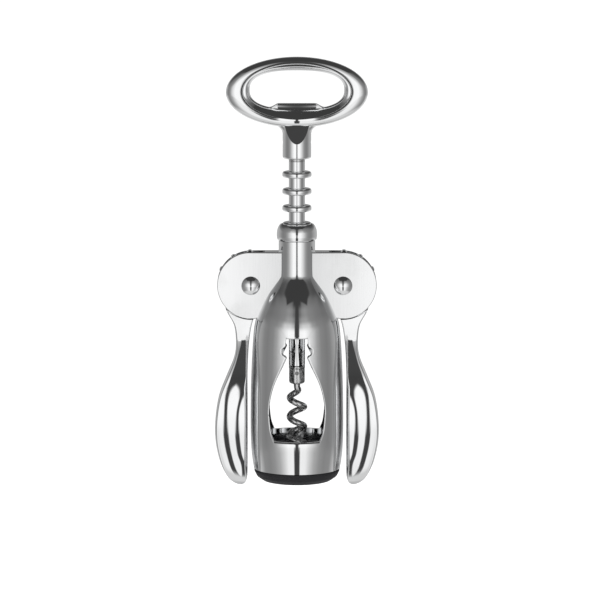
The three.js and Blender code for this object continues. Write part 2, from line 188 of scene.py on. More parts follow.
# Each band takes over from the one before between two rises, in degrees above the horizon
BANDS = (
    (-5, 2, [(0, 62), (5, 66), (7.6, 244), *SIDE_WALLS]),
    (7, 19, [(0, 66), (5.2, 70), (7.8, 176), (18, 205), (34, 198), (45, 151), (60, 128), (90, 116),
             (120, 108), (150, 102), (180, 112)]),
    (18, 31, [(0, 66), (4.5, 70), (8, 126), (16, 148), (28, 152), (40, 132), (60, 120), (82, 110),
              (105, 80), (140, 66), (180, 72)]),
    (31, 44, [(0, 60), (12, 62), (20, 104), (45, 114), (62, 104), (80, 84), (105, 66), (180, 64)]),
    (43, 50, [(0, 58), (48, 60), (63, 78), (75, 84), (95, 74), (130, 64), (180, 62)]),
    (-12, -17, [(0, 62), (6, 68), (8.5, 238), (22, 234), (32, 204), (45, 166), (60, 142), (75, 130),
                (95, 136), (110, 178), (180, 235)]),
    (-40, -58, [(0, 206), (62, 202), (100, 190), (140, 182), (180, 180)]),
)
CARD_GREY = 0.042
CARD_HORIZON = 0.02
STUDIO_STRENGTH = 1.08


# %% The studio as a world
def build_studio():
    world = bpy.data.worlds.new("studio")
    scene.world = world
    world.use_nodes = True
    tree = world.node_tree
    tree.nodes.clear()
    place = node(tree, "ShaderNodeTexCoord")
    split = node(tree, "ShaderNodeSeparateXYZ")
    tree.links.new(place.outputs["Generated"], split.inputs[0])
    x, y, z = split.outputs
    side = math_node(tree, "ABSOLUTE", x)
    front = math_node(tree, "MULTIPLY", y, -1.0)
    turn = math_node(tree, "ARCTAN2", side, front)
    turn = math_node(tree, "DIVIDE", turn, math.pi)
    rise = math_node(tree, "ARCSINE", z)
    rise = math_node(tree, "MULTIPLY", rise, 180 / math.pi)

    studio = grey_ramp(tree, turn, EYE_LEVEL)
    for low, high, stops in BANDS:
        band = grey_ramp(tree, turn, stops)
        studio = blend_grey(tree, steps_between(tree, rise, low, high), studio, band)

    # The dark card overhead, measured on a level plane above the corkscrew
    height = math_node(tree, "MAXIMUM", z, CARD_HORIZON)
    off_centre = math_node(tree, "DIVIDE", side, height)
    across = steps_between(tree, off_centre, 0.86, 0.7)
    along = math_node(tree, "DIVIDE", y, height)
    front_edge = steps_between(tree, along, -1.0, -0.9)
    back_edge = steps_between(tree, along, 2.6, 2.0)
    card = math_node(tree, "MULTIPLY", across, math_node(tree, "MULTIPLY", front_edge, back_edge))
    card = math_node(tree, "MULTIPLY", card, math_node(tree, "GREATER_THAN", z, CARD_HORIZON))
    studio = blend_grey(tree, card, studio, CARD_GREY)

    # The camera itself sees a clean white backdrop
    light_path = node(tree, "ShaderNodeLightPath")
    seen = blend_grey(tree, light_path.outputs["Is Camera Ray"], studio, 1.0)
    background = node(tree, "ShaderNodeBackground", Strength=STUDIO_STRENGTH)
    tree.links.new(seen, background.inputs["Color"])
    output = node(tree, "ShaderNodeOutputWorld")
    tree.links.new(background.outputs[0], output.inputs["Surface"])


build_studio()


# %% [markdown]
# ## Modelling helpers
# Most pieces of a corkscrew are turned on a lathe or drawn over a row of sections. Both
# start from a grid primitive: its rows become the sections, its columns run round them,
# and merging the doubles closes the seam. Crisp corners get a small bevel, because no
# real casting has a knife edge and chrome shows its edges by their highlights.

# %% Selecting and finishing
def only(piece):
    """Selects one object and makes it the active one."""
    if bpy.context.object and bpy.context.object.mode != "OBJECT":
        bpy.ops.object.mode_set(mode="OBJECT")
    bpy.ops.object.select_all(action="DESELECT")
    piece.select_set(True)
    bpy.context.view_layer.objects.active = piece


def edit(piece, kind="FACE"):
    """Opens a piece in edit mode with nothing selected."""
    only(piece)
    bpy.ops.object.mode_set(mode="EDIT")
    bpy.ops.mesh.select_mode(type=kind)
    bpy.ops.mesh.select_all(action="DESELECT")
    return bmesh.from_edit_mesh(piece.data)


def choose(piece, work, elements):
    """Selects these faces or edges, and shows the selection to the operators."""
    for element in elements:
        element.select = True
    work.select_flush_mode()
    bmesh.update_edit_mesh(piece.data)


def object_mode():
    bpy.ops.object.mode_set(mode="OBJECT")


def added(name, primitive, **values):
    """Adds a primitive with nothing else selected, and names it."""
    bpy.ops.object.select_all(action="DESELECT")
    primitive(**values)
    piece = bpy.context.object
    piece.name = name
    return piece


def merge_doubles(piece, distance=0.002):
    edit(piece, "VERT")
    bpy.ops.mesh.select_all(action="SELECT")
    bpy.ops.mesh.remove_doubles(threshold=distance * MM)
    bpy.ops.mesh.normals_make_consistent(inside=False)
    object_mode()


def apply(piece, kind, **values):
    """Adds a modifier, sets it and applies it."""
    only(piece)
    modifier = piece.modifiers.new(kind.lower(), kind)
    for key, value in values.items():
        setattr(modifier, key, value)
    bpy.ops.object.modifier_apply(modifier=modifier.name)


def soften(piece, width, angle=35, segments=3):
    apply(piece, "BEVEL", width=width * MM, segments=segments, limit_method="ANGLE",
          angle_limit=math.radians(angle), use_clamp_overlap=True)


def carve(piece, tool, operation="DIFFERENCE"):
    """Joins or cuts piece with a tool, which is used up."""
    apply(piece, "BOOLEAN", operation=operation, object=tool, solver="EXACT")
    bpy.data.meshes.remove(tool.data)


def smooth(piece, angle=32, crisp=None):
    """Shades smooth, but keeps bends over the angle, and edges that crisp() picks, sharp."""
    only(piece)
    bpy.ops.object.shade_smooth_by_angle(angle=math.radians(angle))
    if crisp:
        work = edit(piece, "EDGE")
        choose(piece, work, [edge for edge in work.edges if crisp(edge)])
        bpy.ops.mesh.mark_sharp()
        object_mode()
        only(piece)
    apply(piece, "WEIGHTED_NORMAL", keep_sharp=True, weight=60)


def curve_through(points, count):
    """Points of a smooth curve through pairs of numbers, both ends included."""
    first = [2 * a - b for a, b in zip(points[0], points[1])]
    last = [2 * a - b for a, b in zip(points[-1], points[-2])]
    ends = [first, *points, last]
    made = []
    for i in range(count + 1):
        place = i / count * (len(points) - 1)
        span = min(int(place), len(points) - 2)
        t = place - span
        made.append(tuple(
            0.5 * (2 * b + (c - a) * t + (2 * a - 5 * b + 4 * c - d) * t ** 2
                   + (3 * b - a - 3 * c + d) * t ** 3)
            for a, b, c, d in zip(*ends[span:span + 4])
        ))
    return made


def value_at(curve, height):
    """The value of a finely stepped (value, height) curve at a height."""
    for (v0, h0), (v1, h1) in zip(curve, curve[1:]):
        if min(h0, h1) <= height <= max(h0, h1) and h0 != h1:
            return v0 + (v1 - v0) * (height - h0) / (h1 - h0)
    return curve[0][0] if abs(height - curve[0][1]) < abs(height - curve[-1][1]) else curve[-1][0]


def ease(value):
    """A soft step from 0 to 1."""
    value = min(1, max(0, value))
    return value * value * (3 - 2 * value)


# %% A skin over rows of points
def skin(name, rows, columns, place):
    """A grid whose vertex in a row and column goes where place(row, column) says, in mm."""
    piece = added(name, bpy.ops.mesh.primitive_grid_add, x_subdivisions=columns, y_subdivisions=rows,
                  size=1)
    piece.data.name = name
    points = []
    for row in range(rows + 1):
        for column in range(columns + 1):
            points.extend(c * MM for c in place(row, column))
    piece.data.vertices.foreach_set("co", points)
    piece.data.update()
    merge_doubles(piece)
    return piece


def turned(name, profile, sides=96):
    """A turned piece: profile is (radius, height) in mm, and closes on itself or the axis."""
    def place(row, column):
        radius, height = profile[row]
        angle = 2 * math.pi * (column % sides) / sides
        return radius * math.sin(angle), -radius * math.cos(angle), height
    return skin(name, len(profile) - 1, sides, place)


def cylinder(name, radius, low, high, axis="Z", at=(0, 0, 0), sides=96):
    """A plain cylinder along an axis, used as a cutting tool or as a start."""
    piece = added(name, bpy.ops.mesh.primitive_cylinder_add, vertices=sides, radius=radius * MM,
                  depth=(high - low) * MM)
    turn = {"Z": (0, "Z"), "Y": (-90, "X"), "X": (90, "Y")}[axis]
    shift = Matrix.Translation((0, 0, (high + low) / 2 * MM))
    spin = Matrix.Rotation(math.radians(turn[0]), 4, turn[1])
    piece.data.transform(Matrix.Translation(Vector(at) * MM) @ spin @ shift)
    return piece


def block(name, low, high):
    """A box between two corners, used as a cutting tool."""
    piece = added(name, bpy.ops.mesh.primitive_cube_add, size=1)
    centre = (Vector(low) + Vector(high)) / 2 * MM
    size = (Vector(high) - Vector(low)) * MM
    piece.data.transform(Matrix.Translation(centre) @ Matrix.Diagonal((*size, 1)))
    return piece


def finished(piece, body, slot, *nodes):
    """Parents the piece to what it rides on, names where its finish comes from, and hides the parts it
    stands for.
    """
    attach(piece, body)
    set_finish(piece, slot)
    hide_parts(*nodes)
    print(piece.name, len(piece.data.polygons), "faces")


# %% [markdown]
# ## The body
# The body is one casting: a bottle with a window back and front, and two cheeks either
# side of each gear. A window cut with a boolean leaves ragged quads in a mirror finish,
# so the columns of the bottle's grid are slid until one follows the window's outline.
# Then the faces inside it are deleted, the two walls are bridged, and the rim is bevelled.

# %% Body sizes
BODY_BOTTOM = 5.4
NECK_TOP = 106.7
SPIGOT_TOP = 110.4
WALL = 2.2
NECK_BORE = 6.75
SEAT_R = 17.4
SEAT_TOP = 12.0
CHEEK_R = 14.8
CHEEK_HALF = 3.75
CHEEK_DRAFT = math.tan(math.radians(2.3))
SLOT_HALF = 2.4
SLOT_R = 16
PIN_HOLE_R = 2.7
BOTTLE = curve_through([
    (19.05, BODY_BOTTOM), (20.02, 12.9), (20.42, 22), (20.42, 33), (20.24, 44.1), (19.54, 59.6),
    (18.45, 70.3), (15.85, 77.6), (13.25, 83), (10.7, 86.9), (8.75, 90), (8.05, 92.3), (8.0, NECK_TOP),
], 480)
WINDOW_BOTTOM = 19.8
WINDOW_TOP = 65.5
WINDOW_BELLY = curve_through([
    (9.9, WINDOW_BOTTOM), (11.4, 24), (12.15, 31), (11.9, 36.5), (10.8, 42), (9.1, 47), (6.3, 53),
    (4.4, 57.2),
], 160)
WINDOW_LIP = curve_through([
    (4.4, 57.2), (4.75, 57.9), (5.9, 58.6), (6.4, 60.0), (6.1, 61.4), (5.0, 62.2), (4.75, 63),
], 60)
WINDOW = WINDOW_BELLY + WINDOW_LIP + [(4.7, WINDOW_TOP)]


# %% The bottle's grid
QUARTER = 32
WINDOW_COLUMN = 12
CHEEK_COLUMNS = (28, 29)


def column_angle(step, radius, z):
    """Angle from the front of one of a quarter's columns at a height."""
    half = value_at(WINDOW, min(max(z, WINDOW_BOTTOM), WINDOW_TOP))
    window = math.asin(min(half / radius, 0.9))
    relax = max(0, (WINDOW_BOTTOM - z) / 8, (z - WINDOW_TOP) / 8)
    window += (math.radians(30) - window) * ease(relax)
    edge = math.acos(min(CHEEK_HALF / radius, 0.8))
    gap = 0.45 / radius
    marks = [(0, 0.0), (WINDOW_COLUMN, window), (CHEEK_COLUMNS[0], edge - gap),
             (CHEEK_COLUMNS[1], edge + gap), (QUARTER, math.pi / 2)]
    for (k0, a0), (k1, a1) in zip(marks, marks[1:]):
        if step <= k1:
            return a0 + (a1 - a0) * (step - k0) / (k1 - k0)


def round_the_bottle(column, radius, z):
    """A column's point at a height; every other quarter runs backwards."""
    quadrant, step = divmod(column % (4 * QUARTER), QUARTER)
    if quadrant % 2:
        angle = column_angle(QUARTER - step, radius, z)
        angle = math.pi / 2 * (quadrant + 1) - angle
    else:
        angle = math.pi / 2 * quadrant + column_angle(step, radius, z)
    return radius * math.sin(angle), -radius * math.cos(angle), z


def bottle_shell():
    """The outside, the neck's spigot, the inside and the seat, as one closed profile."""
    levels = [BODY_BOTTOM, 5.7, 6.5, 8, 9.5, 11, SEAT_TOP, 13, 14.5, 16, 17.6, WINDOW_BOTTOM]
    levels += [WINDOW_BOTTOM + 1.03 * i for i in range(1, 37)]
    levels += [57.2, 57.6, 58.0, 58.4, 58.8, 59.3, 59.8, 60.3, 60.8, 61.3, 61.8, 62.2, 62.6, 63.0, 63.4,
               64.4, WINDOW_TOP, 66.5, 67.5]
    levels += [68.4 + 0.95 * i for i in range(35)] + [103.3, 105, NECK_TOP]
    outside = [(value_at(BOTTLE, z), z) for z in levels]
    spigot = [(7.6, NECK_TOP), (7.6, SPIGOT_TOP), (NECK_BORE, SPIGOT_TOP)]
    inside = [(max(NECK_BORE, value_at(BOTTLE, z) - WALL), z) for z in reversed(levels) if z > SEAT_TOP]
    seat = [(17.95, SEAT_TOP), (SEAT_R, SEAT_TOP), (SEAT_R, BODY_BOTTOM), outside[0]]
    profile = outside + spigot + inside + seat

    def place(row, column):
        radius, z = profile[row]
        return round_the_bottle(column, radius, z)

    return skin("bottle_body", len(profile) - 1, 4 * QUARTER, place)


def open_windows(piece):
    """Deletes the faces inside the outlines, bridges the two walls and bevels the rims."""
    work = edit(piece)
    inside = []
    for face in work.faces:
        x, y, z = face.calc_center_median() / MM
        within = WINDOW_BOTTOM < z < WINDOW_TOP and abs(x) < value_at(WINDOW, z) - 0.05
        if within and abs(y) > 10:
            inside.append(face)
    choose(piece, work, inside)
    bpy.ops.mesh.delete(type="FACE")
    for front in (-1, 1):
        work = edit(piece, "EDGE")
        rim = [e for e in work.edges if e.is_boundary and e.verts[0].co.y * front > 0]
        choose(piece, work, rim)
        bpy.ops.mesh.bridge_edge_loops()
    work = edit(piece, "EDGE")
    work.normal_update()
    rim = []
    for e in work.edges:
        middle = (e.verts[0].co + e.verts[1].co) / 2 / MM
        outer = middle.xy.length > value_at(BOTTLE, middle.z) - 0.5
        if WINDOW_BOTTOM - 0.1 < middle.z < WINDOW_TOP + 0.1 and len(e.link_faces) == 2 and outer:
            if e.calc_face_angle() > math.radians(25):
                rim.append(e)
    choose(piece, work, rim)
    bpy.ops.mesh.bevel(offset=0.75 * MM, offset_type="OFFSET", segments=4, profile=0.5,
                       affect="EDGES")
    object_mode()


# %% Plates from an outline
def plate(name, outline, half):
    """A flat plate: a cylinder whose rim points are moved to an outline of (x, z), in mm."""
    piece = added(name, bpy.ops.mesh.primitive_cylinder_add, vertices=len(outline), radius=1, depth=2)
    for vertex in piece.data.vertices:
        x, z = outline[(vertex.index // 2) % len(outline)]
        vertex.co = (x * MM, math.copysign(half * MM, vertex.co.z), z * MM)
    merge_doubles(piece, 0.0005)
    return piece


# %% The cheeks
def bottle_core(name, wall):
    """The space inside the upper bottle, which the cheeks must not fill."""
    heights = [60 + 2 * i for i in range(30)]
    profile = [(1e-4, heights[0])]
    profile += [(max(NECK_BORE + 0.5, value_at(BOTTLE, z) - wall), z) for z in heights]
    return turned(name, [*profile, (1e-4, heights[-1])], 64)


def cheek_pair(side):
    """A pair of cheeks as one solid, before the slot is cut; draft thins its far edge."""
    outline = [(0, pivot.z - CHEEK_R + 6), (0, pivot.z + CHEEK_R)]
    for i in range(121):
        angle = math.pi * (0.5 + 1.07 * i / 120)
        x = side * (pivot.x - CHEEK_R * math.cos(angle))
        outline.append((x, pivot.z + CHEEK_R * math.sin(angle)))
    cheek = plate("cheek", outline, CHEEK_HALF)
    soften(cheek, 0.4, 60)
    for vertex in cheek.data.vertices:
        inward = pivot.x - abs(vertex.co.x) / MM
        vertex.co.y *= 1 + CHEEK_DRAFT * inward / CHEEK_HALF
    carve(cheek, bottle_core("core", 1.1))
    return cheek


def bottle_body():
    piece = bottle_shell()
    for side in (-1, 1):
        carve(piece, cheek_pair(side), "UNION")
    for side in (-1, 1):
        at = (side * pivot.x, 0, pivot.z)
        carve(piece, cylinder("slot", SLOT_R, -SLOT_HALF, SLOT_HALF, "Y", at, 160))
        carve(piece, cylinder("pin_hole", PIN_HOLE_R, -12, 12, "Y", at, 48))
    open_windows(piece)
    smooth(piece)
    return piece


finished(bottle_body(), "body", "chrome_body", "body_casting")


# %% [markdown]
# ## Base ring and neck collar
# Both are simple turned rings. The base ring is a black moulding that plugs into the
# foot of the casting, with a chamfer under it. The collar is a rounded chrome lip.

# %% Turned rings
def base_ring():
    piece = turned("base_ring_moulding", [
        (11.5, 0), (15.0, 0), (17.7, 1.9), (18.85, 4.2), (18.9, 5.3), (17.3, 5.3), (17.3, 10.8),
        (14.4, 10.8), (11.5, 5.5), (11.5, 0),
    ], 128)
    soften(piece, 0.35, 20)
    smooth(piece)
    return piece


def neck_collar():
    lip = curve_through([
        (8.02, 106.85), (8.55, 107.25), (8.76, 108.2), (8.82, 109.3), (8.7, 111), (8.2, 112.6),
        (7.5, 113.7), (6.95, 114.0),
    ], 40)
    piece = turned("neck_collar_lip", [
        (7.7, 106.75), *lip, (NECK_BORE, 113.8), (NECK_BORE, 110.7), (7.7, 110.7), (7.7, 106.75),
    ], 128)
    smooth(piece)
    return piece


finished(base_ring(), "body", "black_polymer", "base_ring")
finished(neck_collar(), "body", "chrome_body", "neck_collar")

# %% [markdown]
# ## Pivot pins
# Each pivot is a pin with a domed head in front and a matching dome riveted on behind.
# A dome is a sphere cap: its profile is one arc.

# %% Pins and caps
HEAD_R = 4.15
HEAD_RISE = 1.9
HEAD_SEAT = CHEEK_HALF + 0.05


def dome_profile():
    """The head's profile from its rim to its middle, over a plain edge 0.12 mm high."""
    sphere = (HEAD_R ** 2 + HEAD_RISE ** 2) / (2 * HEAD_RISE)
    spread = math.asin(HEAD_R / sphere)
    arc = []
    for i in range(17):
        angle = spread * (1 - i / 16)
        arc.append((max(sphere * math.sin(angle), 1e-4), HEAD_RISE - sphere * (1 - math.cos(angle))))
    return [(HEAD_R - 0.1, 0), *[(r, h + 0.12) for r, h in arc]]


def pin(name, side, front):
    """A head with its shank at the front (1), or a dome with a hole for the shank behind (-1)."""
    shank = [(2.4, -7.2), (2.4, 0)] if front > 0 else [(1.7, 0.9), (1.7, 0)]
    profile = [(1e-4, shank[0][1]), *shank, *dome_profile()]
    piece = turned(name, profile, 64)
    soften(piece, 0.08, 50, 2)
    turn = Matrix.Rotation(math.radians(90 * front), 4, "X")
    shift = Vector((side * pivot.x, -front * HEAD_SEAT, pivot.z)) * MM
    piece.data.transform(Matrix.Translation(shift) @ turn)
    smooth(piece)
    return piece


for side, word in ((-1, "left"), (1, "right")):
    finished(pin(word + "_pin_head", side, 1), "body", "chrome_pins", word + "_pivot_pin")
    finished(pin(word + "_pin_rear_dome", side, -1), "body", "chrome_pins", word + "_pin_cap")

# %% [markdown]
# ## Rack, washers and hub
# The rack is turned from bar: a plain core with a row of rounded rings that the gears
# push. The rings are worked out from the gear's pitch, so they stay in mesh.

# %% The rack
RING_PITCH = 7.45
CORE_R = 3.56
ROD_BORE = 2.6
RING_R = 6.4
RING_LIFT = 0.42
RACK_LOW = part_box("rack_sleeve")[0].z / MM
RACK_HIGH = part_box("rack_sleeve")[1].z / MM
FIRST_RING = pivot.z + RING_LIFT - 2.5 * RING_PITCH


def rack_sleeve():
    half = [(CORE_R, 1.62), (CORE_R + 0.15, 1.45), (CORE_R + 1.2, 1.36), (RING_R - 0.85, 1.3),
            (RING_R - 0.45, 1.18), (RING_R - 0.17, 0.9), (RING_R - 0.03, 0.5), (RING_R, 0.0)]
    outside = []
    for i in range(10):
        z = FIRST_RING + i * RING_PITCH
        outside += [(r, z - h) for r, h in half] + [(r, z + h) for r, h in reversed(half[:-1])]
    piece = turned("rack_with_rings", [
        (ROD_BORE, RACK_LOW), (CORE_R - 0.2, RACK_LOW), (CORE_R, RACK_LOW + 0.2), *outside,
        (CORE_R, RACK_HIGH), (ROD_BORE, RACK_HIGH), (ROD_BORE, RACK_LOW),
    ], 80)
    smooth(piece)
    return piece


def washer(name, node_name):
    """A thrust washer that reaches 0.2 mm past its own, so that no gap shows at its faces."""
    low, high = (corner.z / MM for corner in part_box(node_name))
    low, high = low - 0.2, high + 0.2
    piece = turned(name, [
        (ROD_BORE, low), (CORE_R, low), (CORE_R, high), (ROD_BORE, high), (ROD_BORE, low),
    ], 64)
    soften(piece, 0.12, 40, 2)
    smooth(piece)
    return piece


finished(rack_sleeve(), "rack", "chrome_rack", "rack_sleeve")
finished(washer("upper_washer", "upper_thrust_washer"), "rack", "steel", "upper_thrust_washer")
finished(washer("lower_washer", "lower_thrust_washer"), "rack", "steel", "lower_thrust_washer")


# %% The worm's hub and its pin
HUB_PIN_Z = 48
HANDLE_PIN_Z = 150


def worm_hub():
    low, high = (corner.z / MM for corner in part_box("worm_hub"))
    piece = turned("worm_hub_turned", [
        (1.5, low), (2.7, low), (3.3, low + 0.5), (3.45, low + 1.1), (3.45, high), (ROD_BORE, high),
        (ROD_BORE, low + 2.6), (1.5, low + 2.6), (1.5, low),
    ], 80)
    soften(piece, 0.15, 40)
    carve(piece, cylinder("hole", 0.85, -10, 10, "Y", (0, 0, HUB_PIN_Z), 32))
    smooth(piece)
    return piece


def cross_pin(name, radius, half, axis, z):
    piece = cylinder(name, radius, -half, half, axis, (0, 0, z), 40)
    soften(piece, 0.15, 50)
    smooth(piece)
    return piece


finished(worm_hub(), "spindle", "steel_worm", "worm_hub")
finished(cross_pin("hub_cross_pin", 0.8, 3.3, "Y", HUB_PIN_Z), "spindle", "steel", "worm_hub_pin")


# %% [markdown]
# ## The worm
# A corkscrew's worm is a wire wound into an open helix with a ground point. A curve
# with a round bevel makes the wire, and each point's radius thins it towards the tip.

# %% Wire worm
def worm():
    wire_r, helix_r, turn_z = 1.4, 3.2, 8.6
    top, tip = 45.3, 5.2
    start = top - 4.2
    turns = (start - tip) / turn_z
    count = 170
    points = [(0, 0, top, 1), (0, 0, top - 1.2, 1), (0, 0, top - 2.3, 1)]
    for i in range(count + 1):
        turn = turns * i / count
        radius = helix_r * min(1, turn / 0.5)
        angle = 2 * math.pi * turn
        left = (count - i) / count
        thin = min(1, 0.1 + (left / 0.1) ** 0.8)
        points.append((radius * math.cos(angle), radius * math.sin(angle), start - turn * turn_z, thin))
    data = bpy.data.curves.new("wire_worm", "CURVE")
    data.dimensions = "3D"
    data.bevel_depth = wire_r * MM
    data.bevel_resolution = 7
    data.use_fill_caps = True
    data.resolution_u = 1
    line = data.splines.new("NURBS")
    line.points.add(len(points) - 1)
    line.order_u = 4
    line.use_endpoint_u = True
    line.resolution_u = 2
    for point, (x, y, z, thin) in zip(line.points, points):
        point.co = (x * MM, y * MM, z * MM, 1)
        point.radius = thin
    piece = bpy.data.objects.new("wire_worm", data)
    scene.collection.objects.link(piece)
    only(piece)
    bpy.ops.object.convert(target="MESH")
    piece = bpy.context.object
    merge_doubles(piece)
    smooth(piece, 40)
    return piece


finished(worm(), "spindle", "steel_worm", "worm")

# %% [markdown]
# ## The levers
# A lever is lofted: a row of rounded sections follows its outline, which is drawn as an
# outer and an inner edge. Its face swells below the neck and holds a long shallow scoop
# for the thumb. Its shoulder is cut back to clear the cheeks, down and fully raised. The
# gear and the thin root that runs between the cheeks are joined on with booleans.

# %% Lever sizes
LEVER_OUTER = curve_through([
    (-32.2, 80), (-30.9, 75.2), (-27.7, 69), (-26.85, 61), (-27.8, 54.5), (-31.0, 46.5), (-34.4, 37.5),
    (-36.0, 27), (-35.9, 17.5), (-34.0, 8.5), (-31.2, 2.2), (-28.4, -0.9), (-25.4, -2.3),
], 300)
LEVER_INNER = curve_through([
    (-14.0, 80), (-17.4, 75.2), (-19.65, 70), (-21.0, 62), (-21.55, 54), (-21.8, 46), (-21.75, 36),
    (-21.75, 15), (-21.8, 4), (-22.0, 1.0), (-22.8, -1.2), (-24.6, -2.3),
], 300)
NECK_HALF = curve_through([(3.7, 80), (3.7, 70), (3.7, 62.9)], 20)
LEVER_HALF = NECK_HALF + curve_through([
    (3.72, 62.6), (4.55, 59.8), (5.8, 55.8), (7.2, 50.5), (8.1, 45.5), (8.55, 39), (8.5, 30), (8.1, 20),
    (7.4, 13), (5.7, 5), (3.8, 0.3), (1.4, -2.3),
], 300)
NECK_END = 62.8
CREST_LINE = curve_through([
    (-24.3, 63.2), (-24.5, 61.6), (-24.9, 59.8), (-26.0, 55.9), (-27.1, 52.2), (-28.5, 48.35),
    (-29.7, 44.45), (-30.8, 39.2), (-31.4, 30.3), (-31.3, 22), (-30.3, 14.2), (-27.9, 5.35),
    (-24.4, -0.2), (-23.6, -2.3),
], 300)
VALLEY_LINE = curve_through([
    (-23.6, 46), (-24.0, 40), (-25.2, 35), (-25.9, 31), (-26.1, 25), (-25.9, 19.3), (-25.0, 12.4),
    (-23.4, 7), (-23.0, -2.3),
], 300)


# %% The lever's section
NECK_MIDDLE = -24.5
NECK_SLOPE = math.tan(math.radians(2.5))
SHOULDER_R = 15.0
SCOOP_R = 17.0
BANK_R = 14.0
SIDE_STEPS, CORNER_STEPS, FACE_STEPS = 6, 8, 40
FLANK_POWER = 2 / 2.3


def face_relief(x, z, inner):
    """How far the front stands over its plain half thickness: crest, scoop and soft inner edge."""
    edge = max(0, x - inner + 0.9) ** 2 / 10 * (1 - ease((z - 42) / 6))
    if z > NECK_END:
        return (x - NECK_MIDDLE) * NECK_SLOPE - edge
    crest = value_at(CREST_LINE, z)
    valley = max(value_at(VALLEY_LINE, z), crest + 0.2)
    scoop = ease((48 - z) / 14) * ease((z + 1.5) / 5)
    bank = ease((43 - z) / 10) * ease((z - 1) / 6)
    crisp = math.tan(math.radians(4.5)) * ease((z - 38) / 10)
    deep = (valley - crest) ** 2 / (4 * SCOOP_R)
    if x < crest:
        run = crest - x
        height = -crisp * run - max(0, run - 0.25) ** 2 / (2 * SHOULDER_R)
    elif x < (crest + valley) / 2:
        height = -scoop * (x - crest) ** 2 / (2 * SCOOP_R)
    elif x < valley:
        height = -scoop * (deep - (valley - x) ** 2 / (2 * SCOOP_R))
    else:
        height = -scoop * deep + bank * (x - valley) ** 2 / (2 * BANK_R)
    return height - edge


def lever_section(z):
    """One level's points: outer side, corner, face, corner, inner side, and the same behind."""
    outer = value_at(LEVER_OUTER, z)
    inner = value_at(LEVER_INNER, z)
    half = value_at(LEVER_HALF, z)
    radius = min(0.75, half * 0.45, (inner - outer) * 0.2)
    bulge = min(0.45, half * 0.06)
    flank = 0.5 + (min(1.3, half * 0.2) - 0.5) * ease((48 - z) / 7)
    left, right = outer + bulge + radius, inner - flank
    left_top = half + face_relief(left, z, inner) - radius
    right_top = half + face_relief(right, z, inner)
    points = []
    for i in range(SIDE_STEPS):
        share = i / SIDE_STEPS
        points.append((outer + bulge * share ** 2, left_top * share))
    for i in range(CORNER_STEPS):
        angle = math.pi / 2 * i / CORNER_STEPS
        points.append((left - radius * math.cos(angle), left_top + radius * math.sin(angle)))
    for i in range(FACE_STEPS + 1):
        x = left + (right - left) * i / FACE_STEPS
        points.append((x, half + face_relief(x, z, inner)))
    for i in range(SIDE_STEPS + CORNER_STEPS - 1, -1, -1):
        angle = math.pi / 2 * i / (SIDE_STEPS + CORNER_STEPS)
        x = right + flank * math.cos(angle) ** FLANK_POWER
        points.append((x, right_top * math.sin(angle) ** FLANK_POWER))
    front = [(x, -y, z) for x, y in points]
    rear = [(x, y, z) for x, y in reversed(points[1:-1])]
    return front + rear


# %% The arm, the gear and their union
def lever_arm():
    levels = [80 - 0.9 * i for i in range(19)] + [63.2, 62.92, 62.62, 62.2]
    levels += [61.5 - 0.9 * i for i in range(68)]
    levels += [0.4, -0.2, -0.65, -1.0, -1.3, -1.55, -1.75, -1.9, -1.98]
    sections = [lever_section(z) for z in levels]
    columns = len(sections[0])

    def place(row, column):
        return sections[row][column % columns]

    piece = skin("lever_arm", len(levels) - 1, columns, place)
    edit(piece, "VERT")
    bpy.ops.mesh.select_all(action="SELECT")
    bpy.ops.mesh.fill_holes(sides=0)
    bpy.ops.mesh.normals_make_consistent(inside=False)
    object_mode()
    return piece


GEAR_TEETH = 12
GEAR_PITCH_R = RING_PITCH * GEAR_TEETH / (2 * math.pi)
GEAR_ROOT = 13.4
GEAR_TIP = 15.5
GEAR_HALF = 1.6
FIRST_TOOTH = math.radians(1.7)


def gear():
    """The toothed segment: a disc's rim points are moved out to the teeth."""
    outline = []
    flank = [(GEAR_ROOT, 1.75), (GEAR_ROOT + 0.25, 1.62), (GEAR_PITCH_R, 1.42), (15.0, 1.08),
             (15.35, 0.75), (GEAR_TIP, 0.3)]
    pitch = 2 * math.pi / GEAR_TEETH
    for tooth in range(-1, 6):
        middle = FIRST_TOOTH + tooth * pitch
        outline += [(r, middle - half / r) for r, half in flank]
        outline += [(r, middle + half / r) for r, half in reversed(flank)]
    start = outline[0][1] + 2 * math.pi
    end = outline[-1][1]
    outline += [(GEAR_ROOT, end + (start - end) * i / 24) for i in range(1, 24)]
    count = len(outline)
    piece = added("gear", bpy.ops.mesh.primitive_cylinder_add, vertices=count, radius=1,
                  depth=2 * GEAR_HALF * MM)
    for vertex in piece.data.vertices:
        radius, angle = outline[(vertex.index // 2) % count]
        x, z = -pivot.x + radius * math.cos(angle), pivot.z + radius * math.sin(angle)
        vertex.co = (x * MM, vertex.co.z, z * MM)
    merge_doubles(piece)
    soften(piece, 0.18, 60, 2)
    return piece


CLEARANCE_R = 15.1
CHEEK_CLEARANCE = 0.35
ROOT_HALF = GEAR_HALF - 0.04


def raised_cheek(at):
    """The cheek's flat top as the fully raised lever meets it, with room to spare."""
    raised = math.radians(joints["left_lever_hinge"]["range_deg"][1])
    tool = block("raised_cheek", (-1, -14, 8), (20, 14, CHEEK_R + CHEEK_CLEARANCE))
    tool.data.transform(Matrix.Translation(Vector(at) * MM) @ Matrix.Rotation(-raised, 4, "Y"))
    return tool


